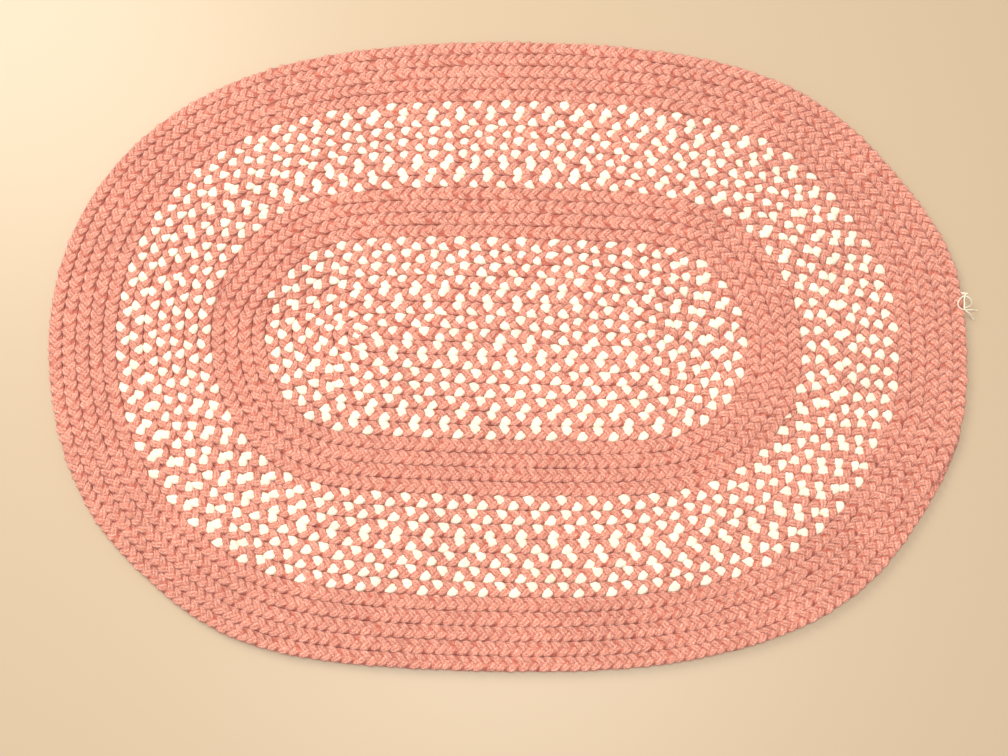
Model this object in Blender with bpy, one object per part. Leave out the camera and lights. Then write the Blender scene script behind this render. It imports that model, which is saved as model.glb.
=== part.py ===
"""Braided rug: an oval floor rug of about 0.9 x 0.6 m, sewn up from three-strand yarn braid.

Two braids make it. The inner braid starts along the middle of the rug and coils round it: seven rows
flecked with ivory, then four plain. The outer braid coils on round that: seven flecked rows, then five
plain. So four lengths of braid show, each one colouring, and each is one flat closed solid here.
A short ivory thread is knotted to the outer row at the right-hand end: one thread runs up over the rim
to the knot and on round a loop to a loose end, and a second loose end lies across that loop.

Metres, +Z up. The origin is under the middle of the rug, on the floor, and X runs along the rug.
"""

import math

import bpy
from mathutils import Vector

# Driving dimensions.
ROW_PITCH = 0.0132  # from one row of braid to the next
THICKNESS = 0.009
HALF_MIDDLE_ROW = 0.1345  # half the length of the first, straight row
CENTRE_LAPS = 7  # flecked laps round the first row
INNER_BAND_LAPS = 4  # plain
FLECKED_BAND_LAPS = 7
OUTER_BAND_LAPS = 5  # plain
GAP = 0.0003  # between two pieces that touch

# Row numbers of the lines between the lengths of braid. The first row is half a row either side of 0.
CENTRE_EDGE = CENTRE_LAPS + 0.5
INNER_BAND_EDGE = CENTRE_EDGE + INNER_BAND_LAPS
FLECKED_BAND_EDGE = INNER_BAND_EDGE + FLECKED_BAND_LAPS
RUG_EDGE = FLECKED_BAND_EDGE + OUTER_BAND_LAPS

# Each end of a row turns more gently the further out it lies.
TURN_SHARPNESS = 5.85
TURN_SOFTENING = 10.45  # per metre out from the first row

# Where a lap moves out by one row to become the next, and where the braid changes colour with it.
INNER_JOIN = math.radians(163.5)
INNER_JOIN_SPREAD = math.radians(14)
OUTER_JOIN = math.radians(-26.5)
OUTER_JOIN_SPREAD = math.radians(12)

# Unevenness of a rug sewn by hand, as shares of the distance from the first row.
NEAR_SIDE_WIDER = 0.007
ENDS_SHORTER = 0.0105
SKEW = 0.005
CORNERS_TIGHTER = 0.013
BULGES = (
    # direction in degrees, how far out at the rug's edge in metres, spread in degrees
    (-66, -0.0009, 12),
    (-32, -0.0067, 14),
    (17, 0.0104, 14),
    (77, -0.0014, 13),
    (231, -0.0063, 12),
    (266, -0.0048, 13),
)

# Each edge is the rounded side of a braid.
EDGE_ROUND = 0.0035

# Points round each line, fewer on the short ones.
CENTRE_POINTS = 88
INNER_BAND_POINTS = 104
FLECKED_BAND_POINTS = 120
RUG_POINTS = 144

# The ivory thread tied to the outer row. Its routes are in millimetres: across and along from the
# knot, and up from the floor.
THREAD_RADIUS = 0.00065
KNOT_PLACE = Vector((0.4420, 0.0556, 0))
KNOT_RADIUS = 0.0013
KNOT_ENDS = ((-2.6, 0.3, 10.4), (2.6, -0.3, 10.2))
LONG_END_ROUTE = (
    (3.9, -11.2, 0.95),
    (6.2, -10.9, 1.2),
    (8.2, -9.8, 2.3),
    (8.9, -8.1, 4.2),
    (8.3, -6.1, 6.3),
    (6.6, -4.4, 8.1),
    (4.1, -3.2, 9.6),
    (1.5, -2.45, 10.3),
    (-0.2, -2.2, 10.3),
    (-1.9, -3.1, 10.1),
    (-4.4, -5.4, 9.95),
    (-6.2, -8.4, 9.95),
    (-6.6, -11.3, 9.95),
    (-5.4, -13.9, 9.95),
    (-2.2, -15.8, 9.95),
    (0.9, -16.2, 9.9),
    (4.2, -15.7, 9.2),
    (8.0, -15.0, 6.8),
    (11.4, -14.4, 3.6),
    (14.0, -14.0, 1.4),
    (16.2, -13.8, 0.95),
)
SHORT_END_ROUTE = (
    (-0.5, -1.5, 12.3),
    (-0.6, -3.9, 11.9),
    (-1.0, -6.6, 11.6),
    (-0.9, -10.2, 11.4),
    (-1.3, -13.4, 11.5),
    (-1.0, -16.2, 11.6),
    (1.2, -18.1, 11.1),
    (4.3, -19.5, 9.3),
    (7.4, -20.9, 5.7),
    (10.0, -22.1, 2.2),
    (12.2, -23.0, 0.95),
)
THREAD_POINT_SPACING = 0.0026
CURVE_STEPS = 12  # between two stops of a route, before its points are spaced out evenly


def angle_from(direction, centre):
    """The signed angle from centre to direction, within half a turn."""
    return (direction - centre + math.pi) % (2 * math.pi) - math.pi


def smooth(share):
    share = min(max(share, 0), 1)
    return share * share * (3 - 2 * share)


def lap_shift(direction, join, spread):
    """How many rows the line between two colours lies out of its even course beside their join."""
    turn = angle_from(direction, join) / spread
    if abs(turn) >= 1:
        return 0
    rise = smooth((turn + 1) / 2)
    return rise if turn < 0 else rise - 1


def point_on_line(rows, direction, shift=0, gap=0):
    """The point of the line that lies so many rows out from the first row, in the rug's plane."""
    out = ROW_PITCH * rows
    sharpness = TURN_SHARPNESS - TURN_SOFTENING * out
    along = HALF_MIDDLE_ROW * math.tanh(sharpness * math.cos(direction)) / math.tanh(sharpness)
    reach = out * (
        1
        - NEAR_SIDE_WIDER * math.sin(direction)
        - ENDS_SHORTER * math.cos(2 * direction)
        + SKEW * math.sin(2 * direction)
        - CORNERS_TIGHTER * math.sin(4 * direction)
    )
    reach += ROW_PITCH * shift + gap
    for centre, bulge, spread in BULGES:
        turn = angle_from(direction, math.radians(centre)) / math.radians(spread)
        reach += bulge * (rows / RUG_EDGE) ** 2 * math.exp(-turn * turn)
    return (along + reach * math.cos(direction), reach * math.sin(direction))


def middle_of_outline():
    """The middle of the box round the rug's outline, which becomes the origin."""
    steps = 1440
    outline = [point_on_line(RUG_EDGE, 2 * math.pi * i / steps) for i in range(steps)]
    across = [x for x, _ in outline]
    along = [y for _, y in outline]
    return ((min(across) + max(across)) / 2, (min(along) + max(along)) / 2)


def line_between(rows, count, join=None, gap=0):
    """The closed line so many rows out, as points. At a colour join it steps back by one row."""
    if join is None:
        places = [(2 * math.pi * i / count, 0) for i in range(count)]
    else:
        # The two sides of the step come first and last, and the gap keeps the step clear as well.
        direction, spread = join
        step = direction + gap / (ROW_PITCH * rows)
        places = [(step, -0.5)]
        for i in range(1, count):
            turned = direction + 2 * math.pi * i / count
            places.append((turned, lap_shift(turned, direction, spread)))
        places.append((step, 0.5))
    points = []
    for direction, shift in places:
        x, y = point_on_line(rows, direction, shift, gap)
        points.append((x - MIDDLE[0], y - MIDDLE[1]))
    return points


MIDDLE = middle_of_outline()


def collection(name):
    made = bpy.data.collections.new(name)
    bpy.context.scene.collection.children.link(made)
    return made


def material(name, colour, roughness):
    made = bpy.data.materials.new(name)
    made.use_nodes = True
    shader = made.node_tree.nodes["Principled BSDF"]
    shader.inputs["Base Color"].default_value = (*colour, 1)
    shader.inputs["Roughness"].default_value = roughness
    shader.inputs["Metallic"].default_value = 0
    return made


def add_spline(curve, points, closed=True):
    spline = curve.splines.new("POLY")
    spline.points.add(len(points) - 1)
    for place, point in zip(spline.points, points):
        place.co = (*point, *([0] * (3 - len(point))), 1)
    spline.use_cyclic_u = closed
    spline.use_smooth = True


def flat_piece(name, lines, look, parts):
    """A flat length of coiled braid between closed lines, its edges rounded like the sides of the braid."""
    curve = bpy.data.curves.new(name, "CURVE")
    curve.dimensions = "2D"
    curve.fill_mode = "BOTH"
    curve.extrude = THICKNESS / 2 - EDGE_ROUND
    curve.bevel_depth = EDGE_ROUND
    curve.bevel_resolution = 1
    curve.offset = -EDGE_ROUND
    for line in lines:
        add_spline(curve, line)
    curve.materials.append(look)
    piece = bpy.data.objects.new(name, curve)
    piece.location.z = THICKNESS / 2
    parts.objects.link(piece)
    return piece


def smooth_route(route):
    """Evenly spaced points of a smooth curve through the stops of a route."""
    stops = [KNOT_PLACE + Vector(stop) / 1000 for stop in route]
    padded = [2 * stops[0] - stops[1], *stops, 2 * stops[-1] - stops[-2]]
    fine = []
    for before, here, there, after in zip(padded, padded[1:], padded[2:], padded[3:]):
        first = there - before
        second = 2 * before - 5 * here + 4 * there - after
        third = 3 * here - before - 3 * there + after
        for i in range(CURVE_STEPS):
            t = i / CURVE_STEPS
            fine.append(here + (first * t + second * t**2 + third * t**3) / 2)
    fine.append(stops[-1])
    travelled = [0]
    for one, two in zip(fine, fine[1:]):
        travelled.append(travelled[-1] + (two - one).length)
    count = round(travelled[-1] / THREAD_POINT_SPACING)
    points = []
    for i in range(count + 1):
        goal = travelled[-1] * i / count
        k = max(j for j in range(len(fine) - 1) if travelled[j] <= goal + 1e-12)
        share = (goal - travelled[k]) / (travelled[k + 1] - travelled[k])
        points.append(fine[k].lerp(fine[k + 1], min(share, 1)))
    return points


def thread(name, points, radius, look, parts):
    curve = bpy.data.curves.new(name, "CURVE")
    curve.dimensions = "3D"
    curve.bevel_depth = radius
    curve.bevel_resolution = 2
    curve.use_fill_caps = True
    add_spline(curve, points, closed=False)
    curve.materials.append(look)
    piece = bpy.data.objects.new(name, curve)
    parts.objects.link(piece)
    return piece


def main():
    for old in list(bpy.data.objects):
        bpy.data.objects.remove(old, do_unlink=True)
    parts = collection("braided_rug")
    terracotta = material("terracotta_yarn", (0.72, 0.25, 0.17), 0.9)
    flecked = material("flecked_yarn", (0.78, 0.42, 0.32), 0.9)
    ivory = material("ivory_thread", (0.88, 0.83, 0.68), 0.8)

    inner_join = (INNER_JOIN, INNER_JOIN_SPREAD)
    outer_join = (OUTER_JOIN, OUTER_JOIN_SPREAD)
    flat_piece("centre_braid", [line_between(CENTRE_EDGE, CENTRE_POINTS, inner_join)], flecked, parts)
    flat_piece(
        "inner_band_braid",
        [
            line_between(INNER_BAND_EDGE, INNER_BAND_POINTS),
            line_between(CENTRE_EDGE, CENTRE_POINTS, inner_join, GAP),
        ],
        terracotta,
        parts,
    )
    flat_piece(
        "flecked_band_braid",
        [
            line_between(FLECKED_BAND_EDGE, FLECKED_BAND_POINTS, outer_join),
            line_between(INNER_BAND_EDGE, INNER_BAND_POINTS, None, GAP),
        ],
        flecked,
        parts,
    )
    flat_piece(
        "outer_band_braid",
        [
            line_between(RUG_EDGE, RUG_POINTS),
            line_between(FLECKED_BAND_EDGE, FLECKED_BAND_POINTS, outer_join, GAP),
        ],
        terracotta,
        parts,
    )
    thread("tie_thread", smooth_route(LONG_END_ROUTE), THREAD_RADIUS, ivory, parts)
    thread("tie_short_end", smooth_route(SHORT_END_ROUTE), THREAD_RADIUS, ivory, parts)
    knot_ends = [KNOT_PLACE + Vector(end) / 1000 for end in KNOT_ENDS]
    thread("tie_knot", knot_ends, KNOT_RADIUS, ivory, parts)


main()
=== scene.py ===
"""Looks of the braided rug: its three-strand braid, yarn, tied thread, floor, light and camera."""

import math

import bpy
import numpy as np
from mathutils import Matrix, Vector


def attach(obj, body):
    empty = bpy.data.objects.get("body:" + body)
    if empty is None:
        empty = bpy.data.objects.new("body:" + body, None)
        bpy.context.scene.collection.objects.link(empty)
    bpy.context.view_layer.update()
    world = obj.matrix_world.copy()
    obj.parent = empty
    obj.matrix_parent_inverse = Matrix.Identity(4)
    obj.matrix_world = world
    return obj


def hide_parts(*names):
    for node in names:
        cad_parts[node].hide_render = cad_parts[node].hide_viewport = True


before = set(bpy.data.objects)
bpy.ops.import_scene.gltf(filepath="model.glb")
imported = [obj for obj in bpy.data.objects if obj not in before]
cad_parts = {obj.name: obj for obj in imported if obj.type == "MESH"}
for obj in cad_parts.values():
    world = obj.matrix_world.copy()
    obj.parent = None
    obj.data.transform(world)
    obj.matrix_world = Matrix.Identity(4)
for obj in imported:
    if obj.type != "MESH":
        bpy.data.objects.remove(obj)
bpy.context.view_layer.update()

FULL_TURN = 2 * math.pi

# ---------------------------------------------------------------- the camera
CAMERA_TARGET = Vector((-0.00155, -0.03941, 0))
CAMERA_DISTANCE = 0.9636
CAMERA_TILT = math.radians(11.38)  # from straight down
CAMERA_TURN = math.radians(1.753)
LENS_MM = 35.714


def add_camera():
    data = bpy.data.cameras.new("camera")
    data.lens = LENS_MM
    data.sensor_width = 36
    camera = bpy.data.objects.new("camera", data)
    away = Vector(
        (
            math.sin(CAMERA_TILT) * math.sin(CAMERA_TURN),
            -math.sin(CAMERA_TILT) * math.cos(CAMERA_TURN),
            math.cos(CAMERA_TILT),
        )
    )
    camera.location = CAMERA_TARGET + CAMERA_DISTANCE * away
    camera.rotation_euler = (CAMERA_TILT, 0, CAMERA_TURN)
    bpy.context.scene.collection.objects.link(camera)
    bpy.context.scene.camera = camera


add_camera()

# ------------------------------------------------- the rug's lines, as in CAD
ROW_PITCH = 0.0132
THICKNESS = 0.009
HALF_MIDDLE_ROW = 0.1345
CENTRE_LAPS = 7
INNER_BAND_LAPS = 4
FLECKED_BAND_LAPS = 7
OUTER_BAND_LAPS = 5
FIRST_OUTER_LAP = CENTRE_LAPS + INNER_BAND_LAPS + 1
RUG_EDGE = CENTRE_LAPS + INNER_BAND_LAPS + FLECKED_BAND_LAPS + OUTER_BAND_LAPS + 0.5

TURN_SHARPNESS = 5.85
TURN_SOFTENING = 10.45

INNER_JOIN = math.radians(163.5)
INNER_JOIN_SPREAD = math.radians(14)
OUTER_JOIN = math.radians(-26.5)
OUTER_JOIN_SPREAD = math.radians(12)

NEAR_SIDE_WIDER = 0.007
ENDS_SHORTER = 0.0105
SKEW = 0.005
CORNERS_TIGHTER = 0.013
BULGES = (
    # direction in degrees, how far out at the rug's edge in metres, spread in degrees
    (-66, -0.0009, 12),
    (-32, -0.0067, 14),
    (17, 0.0104, 14),
    (77, -0.0014, 13),
    (231, -0.0063, 12),
    (266, -0.0048, 13),
)
OUTLINE_POINTS = 1441


def smooth(share):
    """Eases from 0 to 1."""
    share = np.clip(share, 0, 1)
    return share * share * (3 - 2 * share)


def rug_points(rows, direction):
    """Points so many rows out from the first row, before the origin is moved to the middle."""
    out = ROW_PITCH * rows
    sharpness = TURN_SHARPNESS - TURN_SOFTENING * out
    along = HALF_MIDDLE_ROW * np.tanh(sharpness * np.cos(direction))
    along = along / np.tanh(sharpness)
    reach = out * (
        1
        - NEAR_SIDE_WIDER * np.sin(direction)
        - ENDS_SHORTER * np.cos(2 * direction)
        + SKEW * np.sin(2 * direction)
        - CORNERS_TIGHTER * np.sin(4 * direction)
    )
    for centre, bulge, spread in BULGES:
        turn = (direction - math.radians(centre) + math.pi) % FULL_TURN - math.pi
        near = np.exp(-((turn / math.radians(spread)) ** 2))
        reach = reach + bulge * (rows / RUG_EDGE) ** 2 * near
    return np.stack([along + reach * np.cos(direction), reach * np.sin(direction)], axis=-1)


def middle_of_outline():
    outline = rug_points(RUG_EDGE, np.linspace(0, FULL_TURN, OUTLINE_POINTS))
    return (outline.min(axis=0) + outline.max(axis=0)) / 2


MIDDLE = middle_of_outline()

# ---------------------------------------------------------------- the braid
STRAND_PERIOD = 0.0290  # length of braid in which a strand crosses over and back
PHASE_POINTS = 721
# A strand's points in each half period, as shares of it: few underneath, more where it
# crosses on top.
POINTS_UNDERNEATH = (0.12, 0.32)
POINTS_ON_TOP = (0.5, 0.63, 0.76, 0.9)
STRAND_SWING = 0.0046  # how far a strand's middle goes to either side
STRAND_RISE = 0.0018
STRAND_HALF_WIDTH = 0.0040
STRAND_HALF_HEIGHT = 0.0024
LEVEL_STEEPNESS = 0.42  # under 1, a strand climbs and dives quickly and lies level between
CROSSING_HASTE = 0.32  # how much faster a strand crosses on top than underneath
EDGE_PINCH = 0.45  # how much narrower a strand is where it rounds the braid's edge, on its side
EDGE_GROWTH = 0.4  # how much taller it is there
EDGE_SHORTNESS = 6  # the more, the shorter the stretch in which it turns on its side
# A strand's section: four yarns side by side show on its upper side, as ridges.
SECTION_ANGLES = np.radians([0, 22.5, 45, 67.5, 90, 112.5, 135, 157.5, 180, 270])
SECTION_RIDGES = np.array([0.94, 0.99, 0.92, 1.02, 0.96, 1.02, 0.92, 0.99, 0.94, 0.9])
SECTION_SQUARENESS = 0.75
BODY_ANGLES = np.radians([0, 35, 90, 145, 180, 270])
BODY_SQUARENESS = 0.42

BODY_HALF_WIDTH = 0.0066
BODY_HALF_HEIGHT = 0.0030
BODY_STEP = 0.009
BODY_SINK = 0.0002  # how far the inner yarns' middle lies under the braid's
BODY_NARROWEST = 0.08

# Small random unevenness: how far apart its values are along the braid, and their spread.
DRIFT = (0.25, 0.003)  # of where the strands cross, shared by a coil's three strands
SLIP = (0.012, 0.0009)  # of where each strand crosses
SWAY = (0.011, 0.00026)  # of each strand's path sideways
SWELL = (0.013, 0.09)  # of each strand's fullness

# How much of its full rise, width and height a strand keeps where its braid tapers to nothing.
RISE_KEPT = 0.35
WIDTH_KEPT = 0.3
HEIGHT_KEPT = 0.4
FLOOR_GAP = 0.0001

COIL_STEP = math.radians(0.2)
PATH_SPACING = 0.001
NARROWEST_PITCH = 0.9
WIDEST_PITCH = 1.1
EASING_REACH = 9  # path points to each side
EASED_LENGTH = 0.9
EASING_FADE = 0.4
BLUNT_START_POINTS = 12
BLUNT_START_LENGTH = 0.005
BLUNT_START_RADIUS = 0.0056


class Coil:
    """The middle line of one long braid that coils outwards, with all that varies along it."""

    def __init__(self, first_row, laps, start, join, spread, starts_thin, seed):
        self.join, self.spread = join, spread
        self.first_row = first_row
        rng = np.random.default_rng(seed)
        end = join + FULL_TURN * laps + spread
        turned = np.arange(start, end, COIL_STEP)
        rows, width = self.rows_and_width(turned, laps, starts_thin)
        points = rug_points(rows, turned) - MIDDLE
        if not starts_thin:
            points, rows, width, turned = self.add_straight_start(points, rows, width, turned)
        steps = np.linalg.norm(np.diff(points, axis=0), axis=1)
        travelled = np.concatenate([[0], np.cumsum(steps)])
        keep = np.concatenate([[True], steps > 1e-9])
        points, rows, width, turned, travelled = (
            a[keep] for a in (points, rows, width, turned, travelled)
        )
        self.length = travelled[-1]
        self.s = np.linspace(0, self.length, int(self.length / PATH_SPACING) + 1)
        self.turned = np.interp(self.s, travelled, turned)
        self.rows = np.interp(self.s, travelled, rows)
        self.width = np.interp(self.s, travelled, width)
        path = np.stack([np.interp(self.s, travelled, points[:, i]) for i in (0, 1)], axis=-1)
        self.path = self.ease_tight_turns(path)
        tangent = unit(np.gradient(self.path, self.s, axis=0))
        self.normal = np.stack([-tangent[:, 1], tangent[:, 0]], axis=-1)
        self.pitch = self.local_pitch()
        self.drift = wander(rng, self.s, self.length, *DRIFT)

    def rows_and_width(self, turned, laps, starts_thin):
        """How many rows out the braid is, and its width as a share, at each angle turned."""
        rows = np.full_like(turned, self.first_row)
        first = 1 if starts_thin else 0
        for lap in range(first, laps):
            rows = rows + self.moved_out(turned, lap)
        width = np.ones_like(turned)
        ending = self.moved_out(turned, laps)
        rows = rows + ending / 2
        width = width - ending
        if starts_thin:
            begun = self.moved_out(turned, 0)
            rows = rows - (1 - begun) / 2
            width = width * begun
        return rows, width

    def moved_out(self, turned, lap):
        return smooth(((turned - self.join - FULL_TURN * lap) / self.spread + 1) / 2)

    def add_straight_start(self, points, rows, width, turned):
        """A short blunt start to the straight middle row."""
        ahead = np.linspace(BLUNT_START_LENGTH, BLUNT_START_LENGTH / 10, BLUNT_START_POINTS)
        start = points[0] + np.stack([ahead, 0 * ahead], axis=-1)
        thin = np.sqrt(np.clip(1 - (ahead / BLUNT_START_RADIUS) ** 2, 0.1, 1))
        return (
            np.concatenate([start, points]),
            np.concatenate([np.zeros(BLUNT_START_POINTS), rows]),
            np.concatenate([thin, width]),
            np.concatenate([np.full(BLUNT_START_POINTS, turned[0]), turned]),
        )

    def ease_tight_turns(self, path):
        """Rounds the path where the first laps turn sharply."""
        reach = EASING_REACH
        kernel = np.hanning(2 * reach + 1)
        kernel /= kernel.sum()
        eased = path.copy()
        for i in (0, 1):
            padded = np.concatenate(
                [
                    2 * path[0, i] - path[reach:0:-1, i],
                    path[:, i],
                    2 * path[-1, i] - path[-2 : -reach - 2 : -1, i],
                ]
            )
            eased[:, i] = np.convolve(padded, kernel, mode="valid")
        share = smooth((EASED_LENGTH - self.s) / EASING_FADE)[:, None]
        if self.first_row:
            share = share * 0
        return path + (eased - path) * share

    def local_pitch(self):
        """The distance between the rows here, across the braid, as a share of the row pitch."""
        outer = rug_points(self.rows + 0.5, self.turned)
        inner = rug_points(self.rows - 0.5, self.turned)
        across = np.abs(((outer - inner) * self.normal).sum(axis=1)) / ROW_PITCH
        return np.clip(across, NARROWEST_PITCH, WIDEST_PITCH)

    def at(self, s, values):
        return np.interp(s, self.s, values)

    def place(self, s, aside, up):
        """Points at distances s along the braid, so far to its left and so far above its middle."""
        x = self.at(s, self.path[:, 0]) + aside * self.at(s, self.normal[:, 0])
        y = self.at(s, self.path[:, 1]) + aside * self.at(s, self.normal[:, 1])
        return np.stack([x, y, THICKNESS / 2 + up], axis=-1)


def wander(rng, s, length, spacing, size):
    """A smooth random value along a length, with a new random value at each spacing."""
    knots = rng.normal(0, size, int(length / spacing) + 4)
    at = np.arange(len(knots)) * spacing - spacing
    low = np.interp(s, at, knots)
    share = (s % spacing) / spacing
    index = np.clip(((s + spacing) / spacing).astype(int), 0, len(knots) - 2)
    eased = knots[index] + (knots[index + 1] - knots[index]) * smooth(share)
    return (low + eased) / 2


def phase_table():
    """Share of a period against strand phase: quick while crossing on top, slow underneath."""
    phase = np.linspace(0, FULL_TURN, PHASE_POINTS)
    share = (phase - CROSSING_HASTE / 2 * (np.cos(2 * phase) - 1)) / FULL_TURN
    return phase, share


PHASES, SHARES = phase_table()


def nearness(direction, centre, spread):
    """1 where a direction is the centre, given in degrees, and less the further it is from it."""
    return np.exp(-(((direction - math.radians(centre)) / math.radians(spread)) ** 2))


USUAL_CLARITY = -0.035
CLARITY_LOST_WHERE_TIGHT = 0.04
CLARITY_GAINED_AT_LEFT = 0.075
FAR_SIDE_UNEVENNESS = 0.7


def groove_clarity(turned):
    """How clearly the rows stand apart: most at the left end, least where strands interlock."""
    direction = turned % FULL_TURN
    tight = nearness(direction, 330, 45)
    tight += nearness(direction, -30, 45)
    tight += 0.7 * nearness(direction, 225, 25)
    apart = nearness(direction, 165, 38)
    return USUAL_CLARITY - CLARITY_LOST_WHERE_TIGHT * tight + CLARITY_GAINED_AT_LEFT * apart


def unevenness(turned):
    """How much less regular the braid is than usual, most along the rug's far side."""
    return 1 + FAR_SIDE_UNEVENNESS * nearness(turned % FULL_TURN, 90, 50)


def tube(points, lateral, upward, half_width, half_height, angles, squareness=1, ridges=1):
    """A tube's corners and four-sided faces: an oval section at each point, squarer under 1."""
    count, sides = len(points), len(angles)
    ring_x = np.sign(np.cos(angles)) * np.abs(np.cos(angles)) ** squareness * ridges
    ring_y = np.sign(np.sin(angles)) * np.abs(np.sin(angles)) ** squareness * ridges
    verts = (
        points[:, None, :]
        + lateral[:, None, :] * (half_width[:, None] * ring_x)[:, :, None]
        + upward[:, None, :] * (half_height[:, None] * ring_y)[:, :, None]
    ).reshape(-1, 3)
    i, k = np.meshgrid(np.arange(count - 1), np.arange(sides), indexing="ij")
    nxt = (k + 1) % sides
    here, there = i * sides, (i + 1) * sides
    quads = np.stack([here + k, here + nxt, there + nxt, there + k], -1).reshape(-1, 4)
    return verts, quads, i.reshape(-1), k.reshape(-1)


# The baking map lays a tube out as strips, one above the other.
ROW_MARGIN = 0.06
ROW_FILLED = 0.88
STRAND_ROW_SHAPE = 0.02  # smaller for more and shorter strips
BODY_ROW_SHAPE = 0.03
WITHIN_LAST_ROW = 0.999999


def add_uv_map(mesh, name, places):
    layer = mesh.uv_layers.new(name=name)
    layer.data.foreach_set("uv", places.astype(np.float32).reshape(-1))


def mesh_object(name, verts, quads, along, around, step_lengths, sides, texture_rows):
    """A mesh object of tube quads and two end caps, smooth shaded, with its two UV maps."""
    mesh = bpy.data.meshes.new(name)
    caps = np.stack([np.arange(sides)[::-1], len(verts) - sides + np.arange(sides)])
    loops = np.concatenate([quads.reshape(-1), caps.reshape(-1)])
    cap_starts = len(quads) * 4 + np.array([0, sides])
    starts = np.concatenate([np.arange(len(quads)) * 4, cap_starts])
    totals = np.concatenate([np.full(len(quads), 4), [sides, sides]])
    mesh.vertices.add(len(verts))
    mesh.vertices.foreach_set("co", verts.astype(np.float32).reshape(-1))
    mesh.loops.add(len(loops))
    mesh.loops.foreach_set("vertex_index", loops.astype(np.int32))
    mesh.polygons.add(len(starts))
    mesh.polygons.foreach_set("loop_start", starts.astype(np.int32))
    mesh.polygons.foreach_set("loop_total", totals.astype(np.int32))
    mesh.polygons.foreach_set("use_smooth", np.ones(len(starts), bool))
    mesh.update(calc_edges=True)

    s0 = step_lengths[along]
    s1 = step_lengths[along + 1]
    v0 = around / sides
    v1 = (around + 1) / sides
    yarn = np.stack([s0, v0, s0, v1, s1, v1, s1, v0], -1)
    cap_uv = np.zeros((2 * sides, 2))
    add_uv_map(mesh, "yarn", np.concatenate([yarn.reshape(-1, 2), cap_uv]))

    share = step_lengths / step_lengths[-1] * texture_rows * WITHIN_LAST_ROW
    row = np.floor((share[along] + share[along + 1]) / 2)
    u0 = np.clip(share[along] - row, 0, 1)
    u1 = np.clip(share[along + 1] - row, 0, 1)
    low = (row + ROW_MARGIN + ROW_FILLED * v0) / texture_rows
    high = (row + ROW_MARGIN + ROW_FILLED * v1) / texture_rows
    bake = np.stack([u0, low, u0, high, u1, high, u1, low], -1)
    add_uv_map(mesh, "OFBake", np.concatenate([bake.reshape(-1, 2), cap_uv]))
    mesh.uv_layers["yarn"].active = True
    mesh.validate()
    piece = bpy.data.objects.new(name, mesh)
    bpy.context.scene.collection.objects.link(piece)
    return piece


def unit(vectors):
    return vectors / np.linalg.norm(vectors, axis=1, keepdims=True)


def travelled_along(points):
    """The distance from the first point to each, along the line through them."""
    steps = np.linalg.norm(np.diff(points, axis=0), axis=1)
    return np.concatenate([[0], np.cumsum(steps)])


def directions_along(points):
    """The direction of a line at each point, and the level direction to its right."""
    tangent = unit(np.gradient(points, axis=0))
    return tangent, np.stack([tangent[:, 1], -tangent[:, 0], 0 * tangent[:, 0]], -1)


def strand(name, coil, number, start, end, fuller):
    """One strand of the braid between two distances along it."""
    rng = np.random.default_rng(1000 * coil.first_row + 10 * number + 7)
    half_periods = np.arange(int(2 * coil.length / STRAND_PERIOD) + 4)
    points_in_half = np.array(POINTS_UNDERNEATH + POINTS_ON_TOP)
    phase = ((half_periods[:, None] + points_in_half) * math.pi).reshape(-1)
    turns = phase // FULL_TURN
    share = turns + np.interp(phase % FULL_TURN, PHASES, SHARES)
    s = (share - number / 3 - 1 / 3) * STRAND_PERIOD
    loose = coil.at(s, unevenness(coil.turned))
    slip = wander(rng, np.clip(s, 0, coil.length), coil.length, *SLIP)
    s = s + coil.at(s, coil.drift) + loose * slip
    inside = (s >= start) & (s <= end)
    s, phase, loose = s[inside], phase[inside], loose[inside]

    fit = 1 - coil.at(s, groove_clarity(coil.turned))
    taper = coil.at(s, coil.width)
    width = taper * coil.at(s, coil.pitch)
    aside = STRAND_SWING * width * fit * np.sin(phase)
    aside = aside + loose * wander(rng, s, coil.length, *SWAY)
    level = -np.sign(np.sin(2 * phase)) * np.abs(np.sin(2 * phase)) ** LEVEL_STEEPNESS
    up = STRAND_RISE * level * (RISE_KEPT + (1 - RISE_KEPT) * taper)
    points = coil.place(s, aside, up)
    tangent, lateral = directions_along(points)
    lateral = unit(lateral)
    upward = np.cross(lateral, tangent)
    at_edge = np.abs(np.sin(phase)) ** EDGE_SHORTNESS
    fullness = fuller + loose * wander(rng, s, coil.length, *SWELL)
    half_width = STRAND_HALF_WIDTH * (1 - EDGE_PINCH * at_edge) * fullness * fit
    half_width = half_width * (WIDTH_KEPT + (1 - WIDTH_KEPT) * width)
    half_height = STRAND_HALF_HEIGHT * (1 + EDGE_GROWTH * at_edge)
    half_height = half_height * (HEIGHT_KEPT + (1 - HEIGHT_KEPT) * taper)
    lowest = points[:, 2] - half_height
    points[:, 2] += np.clip(FLOOR_GAP - lowest, 0, None)
    made = tube(
        points,
        lateral,
        upward,
        half_width,
        half_height,
        SECTION_ANGLES,
        SECTION_SQUARENESS,
        SECTION_RIDGES,
    )
    lengths = travelled_along(points)
    rows = max(1, round(math.sqrt(lengths[-1] / STRAND_ROW_SHAPE)))
    return mesh_object(name, *made, lengths, len(SECTION_ANGLES), rows)


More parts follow.
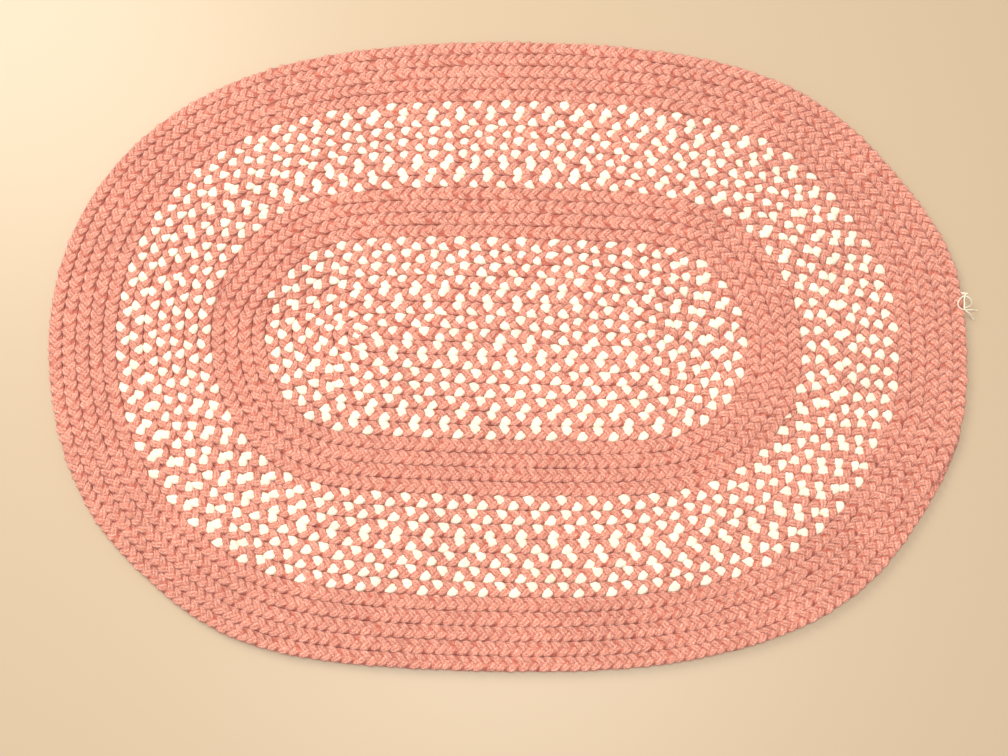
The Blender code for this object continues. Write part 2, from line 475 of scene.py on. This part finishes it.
def braid_body(name, coil, start, end):
    """The inner yarns of a length of braid, which fill it under the strands that show."""
    count = max(8, int((end - start) / BODY_STEP))
    s = np.linspace(start, end, count)
    points = coil.place(s, 0 * s, 0 * s - BODY_SINK)
    _, lateral = directions_along(points)
    upward = np.tile([0.0, 0.0, 1.0], (len(s), 1))
    taper = coil.at(s, coil.width)
    half_width = BODY_HALF_WIDTH * np.clip(taper * coil.at(s, coil.pitch), BODY_NARROWEST, 2)
    half_height = BODY_HALF_HEIGHT * (HEIGHT_KEPT + (1 - HEIGHT_KEPT) * taper)
    made = tube(
        points, lateral, upward, half_width, half_height, BODY_ANGLES, BODY_SQUARENESS
    )
    rows = max(1, round(math.sqrt((end - start) / BODY_ROW_SHAPE)))
    return mesh_object(name, *made, s - start, len(BODY_ANGLES), rows)


# ------------------------------------------------------------- the materials
def new_material(name, roughness, sheen):
    made = bpy.data.materials.new(name)
    made.use_nodes = True
    shader = made.node_tree.nodes["Principled BSDF"]
    shader.inputs["Roughness"].default_value = roughness
    shader.inputs["Specular IOR Level"].default_value = 0.2
    shader.inputs["Sheen Weight"].default_value = sheen
    shader.inputs["Sheen Roughness"].default_value = 0.5
    return made, made.node_tree.nodes, made.node_tree.links, shader


def noise(nodes, links, vector, scale, detail):
    made = nodes.new("ShaderNodeTexNoise")
    made.inputs["Scale"].default_value = scale
    made.inputs["Detail"].default_value = detail
    links.new(vector, made.inputs["Vector"])
    return made.outputs["Fac"]


def blend_colour(nodes, links, share, one, two):
    made = nodes.new("ShaderNodeMix")
    made.data_type = "RGBA"
    links.new(share, made.inputs["Factor"])
    for socket, value in ((made.inputs[6], one), (made.inputs[7], two)):
        if isinstance(value, tuple):
            socket.default_value = (*value, 1)
        else:
            links.new(value, socket)
    return made.outputs[2]


def stretch(nodes, links, value, low, high):
    """Spreads the middle of a noise's range over 0 to 1."""
    made = nodes.new("ShaderNodeMapRange")
    made.inputs["From Min"].default_value = low
    made.inputs["From Max"].default_value = high
    links.new(value, made.inputs["Value"])
    return made.outputs["Result"]


def math_node(nodes, links, operation, *values):
    made = nodes.new("ShaderNodeMath")
    made.operation = operation
    for socket, value in zip(made.inputs, values):
        if isinstance(value, (int, float)):
            socket.default_value = value
        else:
            links.new(value, socket)
    return made.outputs["Value"]


# Heights above the floor between which yarn turns from its painted groove shade to its own colour.
GROOVE_SHADE_FULL_BELOW = 0.0055
GROOVE_SHADE_NONE_ABOVE = 0.0080


def yarn_ridges(nodes, links, around):
    """1 on the yarns that show as ridges along a strand, and 0 in the furrows between them."""
    turn = math_node(nodes, links, "MULTIPLY", around, len(SECTION_ANGLES) / 2 * FULL_TURN)
    wave = math_node(nodes, links, "COSINE", turn)
    return math_node(nodes, links, "MULTIPLY_ADD", wave, -0.5, 0.5)


# Shares of the way round a strand's section: the middle of its upper side, and how far from
# there the painted crease shade down its sides starts and ends.
UPPER_MIDDLE = 4 / len(SECTION_ANGLES)
CREASE_SHADE_STARTS = 2.0 / len(SECTION_ANGLES)
CREASE_SHADE_ENDS = 3.2 / len(SECTION_ANGLES)


def clear_of_crease_shade(nodes, links, around):
    """1 on a strand's upper side, and 0 down its sides where it meets the next strand, which get
    painted crease shade.
    """
    away = math_node(nodes, links, "SUBTRACT", around, UPPER_MIDDLE)
    away = math_node(nodes, links, "ABSOLUTE", away)
    return stretch(nodes, links, away, CREASE_SHADE_ENDS, CREASE_SHADE_STARTS)


YARN_ROUGHNESS = 0.9
YARN_SHEEN = 0.25
FIBRE_PATTERN = (330, 30, 1)  # along the strand, round it, and not used
DYE_PATTERN = 14
LOBE_PATTERN = 120
GRAIN_PATTERN = 700
UNEVEN_DYE = ((0.93, 0.93, 0.93), (1.04, 1.04, 1.04))
UNEVEN_LOBES = ((0.90, 0.86, 0.85), (1.05, 1.07, 1.07))
UNCHANGED = (1.0, 1.0, 1.0)


def yarn_material(name, furrow_shade, middle, light, speckled, crease_shade, groove_shade, fibre_bump):
    """Matt spun yarn: fine fibres that run along the strand, slow uneven dyeing, and painted shade
    in the furrows between yarns, the creases down a strand's sides and low in the grooves.
    """
    made, nodes, links, shader = new_material(name, YARN_ROUGHNESS, YARN_SHEEN)
    uv = nodes.new("ShaderNodeUVMap")
    uv.uv_map = "yarn"
    fibres = nodes.new("ShaderNodeMapping")
    fibres.inputs["Scale"].default_value = FIBRE_PATTERN
    links.new(uv.outputs["UV"], fibres.inputs["Vector"])
    place = nodes.new("ShaderNodeTexCoord").outputs["Object"]

    fine = stretch(nodes, links, noise(nodes, links, fibres.outputs["Vector"], 1, 2), 0.35, 0.65)
    split = nodes.new("ShaderNodeSeparateXYZ")
    links.new(uv.outputs["UV"], split.inputs["Vector"])
    ridges = yarn_ridges(nodes, links, split.outputs["Y"])
    clear = clear_of_crease_shade(nodes, links, split.outputs["Y"])
    dye = stretch(nodes, links, noise(nodes, links, place, DYE_PATTERN, 2), 0.3, 0.7)
    lobes = stretch(nodes, links, noise(nodes, links, place, LOBE_PATTERN, 1), 0.3, 0.7)
    grain = stretch(nodes, links, noise(nodes, links, place, GRAIN_PATTERN, 2), 0.40, 0.60)

    colour = blend_colour(nodes, links, fine, middle, light)
    # Painted shade: the furrows between the yarns take the darker furrow colour.
    colour = blend_colour(nodes, links, ridges, furrow_shade, colour)
    shade = blend_colour(nodes, links, dye, *UNEVEN_DYE)
    patch = blend_colour(nodes, links, lobes, *UNEVEN_LOBES)
    speck = blend_colour(nodes, links, grain, *speckled)
    # Painted shade: yarn low in the grooves between rows turns darker, by its height above the
    # floor.
    height = nodes.new("ShaderNodeSeparateXYZ")
    links.new(place, height.inputs["Vector"])
    depth = stretch(nodes, links, height.outputs["Z"], GROOVE_SHADE_FULL_BELOW, GROOVE_SHADE_NONE_ABOVE)
    groove_shaded = blend_colour(nodes, links, depth, groove_shade, UNCHANGED)
    # Painted shade down a strand's sides, in the creases where it meets the next strand.
    crease_shaded = blend_colour(nodes, links, clear, crease_shade, UNCHANGED)
    for factor in (shade, patch, speck, groove_shaded, crease_shaded):
        product = nodes.new("ShaderNodeMix")
        product.data_type = "RGBA"
        product.blend_type = "MULTIPLY"
        product.inputs["Factor"].default_value = 1
        links.new(colour, product.inputs[6])
        links.new(factor, product.inputs[7])
        colour = product.outputs[2]
    links.new(colour, shader.inputs["Base Color"])

    bump = nodes.new("ShaderNodeBump")
    bump.inputs["Strength"].default_value = 1
    bump.inputs["Distance"].default_value = fibre_bump
    links.new(fine, bump.inputs["Height"])
    links.new(bump.outputs["Normal"], shader.inputs["Normal"])
    return made


# Each yarn's furrow, crease and groove colours below are painted shade, not its own colour.
TERRACOTTA = yarn_material(
    "terracotta_yarn",
    furrow_shade=(0.78, 0.285, 0.20),
    middle=(0.88, 0.34, 0.245),
    light=(0.99, 0.55, 0.43),
    speckled=((0.76, 0.66, 0.63), (1.14, 1.23, 1.25)),
    crease_shade=(0.70, 0.52, 0.49),
    groove_shade=(0.80, 0.63, 0.60),
    fibre_bump=0.0004,
)
IVORY = yarn_material(
    "ivory_yarn",
    furrow_shade=(0.93, 0.87, 0.66),
    middle=(0.97, 0.94, 0.77),
    light=(0.99, 0.97, 0.83),
    speckled=((0.95, 0.94, 0.92), (1.03, 1.03, 1.03)),
    crease_shade=(0.92, 0.84, 0.74),
    groove_shade=(0.92, 0.84, 0.76),
    fibre_bump=0.0002,
)
# Painted shade: the inner yarns are a darker terracotta, as they show only in the shaded gaps
# between strands.
SHADED_INNER_YARN = yarn_material(
    "shaded_inner_yarn",
    furrow_shade=(0.55, 0.15, 0.10),
    middle=(0.72, 0.24, 0.17),
    light=(0.80, 0.32, 0.24),
    speckled=((0.85, 0.80, 0.78), (1.08, 1.10, 1.10)),
    crease_shade=UNCHANGED,
    groove_shade=(0.80, 0.66, 0.64),
    fibre_bump=0.0002,
)
THREAD = yarn_material(
    "sewing_thread",
    furrow_shade=(0.95, 0.86, 0.68),
    middle=(0.98, 0.92, 0.76),
    light=(0.99, 0.96, 0.84),
    speckled=((0.96, 0.95, 0.93), (1.02, 1.02, 1.02)),
    crease_shade=UNCHANGED,
    groove_shade=UNCHANGED,
    fibre_bump=0.00005,
)

# --------------------------------------------------------- the tied thread
THREAD_RADIUS = 0.00065
THREAD_SPACING = 0.0004  # between points along it
STEPS_BETWEEN_STOPS = 24
PLY_LAY = 0.0042  # length of thread in which a ply goes once round
PLY_OFFSET = 0.46 * THREAD_RADIUS
PLY_RADIUS = 0.56 * THREAD_RADIUS
PLY_ANGLES = np.radians(np.arange(0, 360, 60))
KNOT_PLACE = Vector((0.4420, 0.0556, 0))
KNOT_HEIGHT = 0.0103
KNOT_HALF_LENGTH = 0.0030
KNOT_WINDING = 0.00078  # how far the turns' middle lies from the knot's
KNOT_ROUNDING = 0.0036
KNOT_SLANT = 0.1
KNOT_TURNS = 2.2
KNOT_POINTS = 90
KNOT_THREAD_RADIUS = 0.00062
KNOT_THREAD_LENGTH = 0.02
KNOT_ANGLES = np.radians(np.arange(0, 360, 45))
# Both routes are in millimetres from the knot's place.
LONG_END_ROUTE = (
    (3.9, -11.2, 0.95),
    (6.2, -10.9, 1.2),
    (8.2, -9.8, 2.3),
    (8.9, -8.1, 4.2),
    (8.3, -6.1, 6.3),
    (6.6, -4.4, 8.1),
    (4.1, -3.2, 9.6),
    (1.5, -2.45, 10.3),
    (-0.2, -2.2, 10.3),
    (-1.9, -3.1, 10.1),
    (-4.4, -5.4, 9.95),
    (-6.2, -8.4, 9.95),
    (-6.6, -11.3, 9.95),
    (-5.4, -13.9, 9.95),
    (-2.2, -15.8, 9.95),
    (0.9, -16.2, 9.9),
    (4.2, -15.7, 9.2),
    (8.0, -15.0, 6.8),
    (11.4, -14.4, 3.6),
    (14.0, -14.0, 1.4),
    (16.2, -13.8, 0.95),
)
SHORT_END_ROUTE = (
    (-0.5, -1.5, 12.3),
    (-0.6, -3.9, 11.9),
    (-1.0, -6.6, 11.6),
    (-0.9, -10.2, 11.4),
    (-1.3, -13.4, 11.5),
    (-1.0, -16.2, 11.6),
    (1.2, -18.1, 11.1),
    (4.3, -19.5, 9.3),
    (7.4, -20.9, 5.7),
    (10.0, -22.1, 2.2),
    (12.2, -23.0, 0.95),
)


def smooth_route(route):
    """Even points along a smooth line through the stops, and the distance to each."""
    stops = np.array([KNOT_PLACE + Vector(stop) / 1000 for stop in route])
    padded = np.concatenate([[2 * stops[0] - stops[1]], stops, [2 * stops[-1] - stops[-2]]])
    fine = []
    for before, here, there, after in zip(padded, padded[1:], padded[2:], padded[3:]):
        for t in np.linspace(0, 1, STEPS_BETWEEN_STOPS, endpoint=False):
            first = there - before
            second = 2 * before - 5 * here + 4 * there - after
            third = 3 * here - before - 3 * there + after
            fine.append(here + (first * t + second * t**2 + third * t**3) / 2)
    fine = np.array([*fine, stops[-1]])
    travelled = travelled_along(fine)
    s = np.linspace(0, travelled[-1], int(travelled[-1] / THREAD_SPACING) + 1)
    return np.stack([np.interp(s, travelled, fine[:, i]) for i in range(3)], -1), s


def carried_frame(points):
    """A sideways and an upward direction at each point that turn no more than the line does."""
    tangent = unit(np.gradient(points, axis=0))
    side = np.cross(tangent[0], [0.0, 0.0, 1.0])
    sides = []
    for direction in tangent:
        side = side - direction * side.dot(direction)
        side = side / np.linalg.norm(side)
        sides.append(side)
    sides = np.array(sides)
    return sides, np.cross(sides, tangent)


def twisted_thread(name, route):
    """Two plies twisted into one thread, joined as one mesh."""
    points, s = smooth_route(route)
    side, up = carried_frame(points)
    size = np.full(len(s), PLY_RADIUS)
    plies = []
    for number in range(2):
        turn = (s / PLY_LAY + number / 2) * FULL_TURN
        away = side * np.cos(turn)[:, None] + up * np.sin(turn)[:, None]
        middle = points + PLY_OFFSET * away
        made = tube(middle, *carried_frame(middle), size, size, PLY_ANGLES)
        plies.append(mesh_object(f"{name}_{number}", *made, s, len(PLY_ANGLES), 4))
    return join(name, plies), points, s[-1]


def join(name, pieces):
    with bpy.context.temp_override(
        active_object=pieces[0], selected_editable_objects=pieces, selected_objects=pieces
    ):
        bpy.ops.object.join()
    pieces[0].name = name
    pieces[0].data.name = name
    return pieces[0]


def finish_piece(piece, look, node=None):
    piece.data.materials.clear()
    piece.data.materials.append(look)
    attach(piece, "root")
    if node:
        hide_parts(node)
    return piece


def knot():
    """The knot: the thread wound tight, a little over two turns."""
    turns = np.linspace(0, KNOT_TURNS * FULL_TURN, KNOT_POINTS)
    x = np.linspace(-KNOT_HALF_LENGTH, KNOT_HALF_LENGTH, KNOT_POINTS)
    radius = KNOT_WINDING * np.sqrt(np.clip(1 - (x / KNOT_ROUNDING) ** 2, 0.15, 1))
    centre = np.array(KNOT_PLACE) + [0, 0, KNOT_HEIGHT]
    winding = [x, radius * np.cos(turns) - KNOT_SLANT * x, radius * np.sin(turns)]
    points = centre + np.stack(winding, -1)
    size = np.full(KNOT_POINTS, KNOT_THREAD_RADIUS)
    made = tube(points, *carried_frame(points), size, size, KNOT_ANGLES)
    s = np.linspace(0, KNOT_THREAD_LENGTH, KNOT_POINTS)
    return mesh_object("thread_knot", *made, s, len(KNOT_ANGLES), 2)


def add_tie():
    wound = finish_piece(knot(), THREAD, "tie_knot")
    short, short_path, short_length = twisted_thread("thread_short_end", SHORT_END_ROUTE)
    finish_piece(short, THREAD, "tie_short_end")
    long, long_path, long_length = twisted_thread("thread_long_end", LONG_END_ROUTE)
    finish_piece(long, THREAD, "tie_thread")


add_tie()

# ------------------------------------------------------------------ the rug
INNER_COIL = Coil(
    first_row=0,
    laps=CENTRE_LAPS + INNER_BAND_LAPS,
    start=0,
    join=INNER_JOIN,
    spread=INNER_JOIN_SPREAD,
    starts_thin=False,
    seed=3,
)
OUTER_COIL = Coil(
    first_row=FIRST_OUTER_LAP,
    laps=FLECKED_BAND_LAPS + OUTER_BAND_LAPS,
    start=OUTER_JOIN - OUTER_JOIN_SPREAD,
    join=OUTER_JOIN,
    spread=OUTER_JOIN_SPREAD,
    starts_thin=True,
    seed=4,
)


def colour_join(coil, laps):
    """The distance along a coil at which its colouring changes, after so many laps."""
    return np.interp(coil.join + FULL_TURN * laps, coil.turned, coil.s)


IVORY_FULLNESS = 1.22  # of the ivory strand, against a terracotta one


def add_band(name, coil, start, end, flecked, node):
    for number in range(3):
        look, colour, fuller = TERRACOTTA, "terracotta", 1
        if flecked and number == 0:
            look, colour, fuller = IVORY, "ivory", IVORY_FULLNESS
        piece_name = f"{name}_{colour}_strand_{number + 1}"
        made = strand(piece_name, coil, number, start, end, fuller)
        finish_piece(made, look)
    body = braid_body(f"{name}_inner_yarns", coil, start, end)
    # The inner yarns' darker colour is painted shade in the gaps between strands.
    finish_piece(body, SHADED_INNER_YARN, node)


INNER_CHANGE = colour_join(INNER_COIL, CENTRE_LAPS)
OUTER_CHANGE = colour_join(OUTER_COIL, FLECKED_BAND_LAPS)
add_band("centre", INNER_COIL, 0, INNER_CHANGE, True, "centre_braid")
add_band("inner_band", INNER_COIL, INNER_CHANGE, INNER_COIL.length, False, "inner_band_braid")
add_band("flecked_band", OUTER_COIL, 0, OUTER_CHANGE, True, "flecked_band_braid")
add_band("outer_band", OUTER_COIL, OUTER_CHANGE, OUTER_COIL.length, False, "outer_band_braid")


# ---------------------------------------------------------- stray rim fibres
FIBRE_COUNT = 5000
FIBRE_RADIUS = 0.00004
FIBRE_LENGTHS = (0.0010, 0.0026)
FIBRE_SIDES = np.radians([0, 120, 240])
FIBRE_DEPTHS = (0.78, 0.92)  # how far out its root is, as a share of half the braid's width
FIBRE_HEIGHTS = (-0.2, 0.34)  # its root above the rug's middle, as a share of the thickness
FIBRE_RISES = (-0.2, 0.6)
FIBRE_LEAN = 0.9
FIBRE_BEND = 0.6
FIBRE_BEND_UP = 0.4
FIBRE_ROOTED = 0.0008  # extra length that hides in the braid
FIBRE_LOWEST = 0.0004
FIBRE_BARE_END = 0.06  # length at the coil's thin end with no fibres
FIBRE_FACES = np.array(
    [
        (2, 1, 0),
        (0, 1, 4),
        (0, 4, 3),
        (1, 2, 5),
        (1, 5, 4),
        (2, 0, 3),
        (2, 3, 5),
        (3, 4, 6),
        (4, 5, 6),
        (5, 3, 6),
    ]
)
FIBRE_CORNERS = 7
# Where each corner of a fibre lies in its own square of the baking map.
FIBRE_SQUARE = np.array([(0, 0), (0, 1), (0.5, 1), (1, 1), (1, 0), (0.5, 0), (0.5, 0.5)])
SQUARE_FILLED = 0.8
SQUARE_MARGIN = 0.1


def fibre_corners():
    """Each fibre's corners: two rings of three, and a tip."""
    rng = np.random.default_rng(11)
    column = (FIBRE_COUNT, 1)
    coil = OUTER_COIL
    last_lap = np.interp(coil.turned[-1] - FULL_TURN, coil.turned, coil.s)
    s = rng.uniform(last_lap, coil.length - FIBRE_BARE_END, FIBRE_COUNT)
    depth = rng.uniform(*FIBRE_DEPTHS, FIBRE_COUNT)
    aside = -ROW_PITCH / 2 * coil.at(s, coil.width) * depth
    root = coil.place(s, aside, THICKNESS * rng.uniform(*FIBRE_HEIGHTS, FIBRE_COUNT))
    normal = np.stack([coil.at(s, coil.normal[:, 0]), coil.at(s, coil.normal[:, 1])], -1)
    outwards = np.stack([-normal[:, 0], -normal[:, 1], 0 * s], -1)
    along = np.stack([normal[:, 1], -normal[:, 0], 0 * s], -1)
    up = np.array([0.0, 0.0, 1.0])
    lean = rng.normal(0, FIBRE_LEAN, column)
    rise = rng.uniform(*FIBRE_RISES, column)
    length = rng.uniform(*FIBRE_LENGTHS, column)
    first = unit(outwards + along * lean + up * rise)
    bend = along * rng.normal(0, FIBRE_BEND, column)
    bend = bend + up * rng.normal(0, FIBRE_BEND_UP, column)
    second = unit(first + bend)
    middle = root + first * (0.6 * length + FIBRE_ROOTED)
    tip = middle + second * 0.5 * length
    tip[:, 2] = np.maximum(tip[:, 2], FIBRE_LOWEST)
    side = unit(np.cross(first, up))
    other = np.cross(side, first)
    rings = [
        centre + radius * (side * math.cos(angle) + other * math.sin(angle))
        for centre, radius in ((root, FIBRE_RADIUS), (middle, 0.8 * FIBRE_RADIUS))
        for angle in FIBRE_SIDES
    ]
    return np.stack([*rings, tip], axis=1).reshape(-1, 3)


def add_rim_fibres():
    """Short loose fibres that stand out of the rug's outermost lap, joined as one mesh."""
    first_corner = FIBRE_CORNERS * np.arange(FIBRE_COUNT)[:, None, None]
    faces = (FIBRE_FACES[None] + first_corner).reshape(-1, 3)
    mesh = bpy.data.meshes.new("rim_fibres")
    mesh.from_pydata(fibre_corners().tolist(), [], faces.tolist())

    number = np.repeat(np.arange(FIBRE_COUNT), FIBRE_FACES.size)
    add_uv_map(mesh, "yarn", np.stack([number * 0.01, np.full(len(number), 0.3)], -1))
    columns = math.ceil(math.sqrt(FIBRE_COUNT))
    square = FIBRE_SQUARE * SQUARE_FILLED + SQUARE_MARGIN
    corner = square[np.tile(FIBRE_FACES.reshape(-1), FIBRE_COUNT)]
    place = (np.stack([number % columns, number // columns], -1) + corner) / columns
    add_uv_map(mesh, "OFBake", place)
    mesh.uv_layers["yarn"].active = True
    piece = bpy.data.objects.new("rim_fibres", mesh)
    bpy.context.scene.collection.objects.link(piece)
    finish_piece(piece, TERRACOTTA)


add_rim_fibres()


# ------------------------------------------------------- the floor and light
FLOOR_HALF = 9.0
FLOOR_COLOUR = (0.53, 0.405, 0.27, 1)


def add_floor():
    mesh = bpy.data.meshes.new("floor")
    corners = [(x * FLOOR_HALF, y * FLOOR_HALF, 0) for x, y in ((-1, -1), (1, -1), (1, 1), (-1, 1))]
    mesh.from_pydata(corners, [], [(0, 1, 2, 3)])
    floor = bpy.data.objects.new("floor", mesh)
    bpy.context.scene.collection.objects.link(floor)
    made, _, _, shader = new_material("pale_floor", 0.4, 0)
    shader.inputs["Base Color"].default_value = FLOOR_COLOUR
    shader.inputs["Specular IOR Level"].default_value = 0.5
    mesh.materials.append(made)


def add_light(name, location, size, power, colour):
    data = bpy.data.lights.new(name, "AREA")
    data.shape = "DISK"
    data.size = size
    data.energy = power
    data.color = colour
    light = bpy.data.objects.new(name, data)
    light.location = location
    light.rotation_euler = (-Vector(location)).to_track_quat("-Z", "Y").to_euler()
    bpy.context.scene.collection.objects.link(light)


def add_world():
    world = bpy.data.worlds.new("studio")
    world.use_nodes = True
    background = world.node_tree.nodes["Background"]
    background.inputs["Color"].default_value = (1, 0.97, 0.92, 1)
    background.inputs["Strength"].default_value = 0.55
    bpy.context.scene.world = world


add_floor()
add_world()
add_light("window", (-1.3, 1.15, 1.5), 1.3, 31, (1, 0.97, 0.92))
add_light("overhead", (0.0, -0.1, 2.2), 1.4, 35, (1, 0.98, 0.95))
bpy.context.scene.view_settings.view_transform = "Standard"
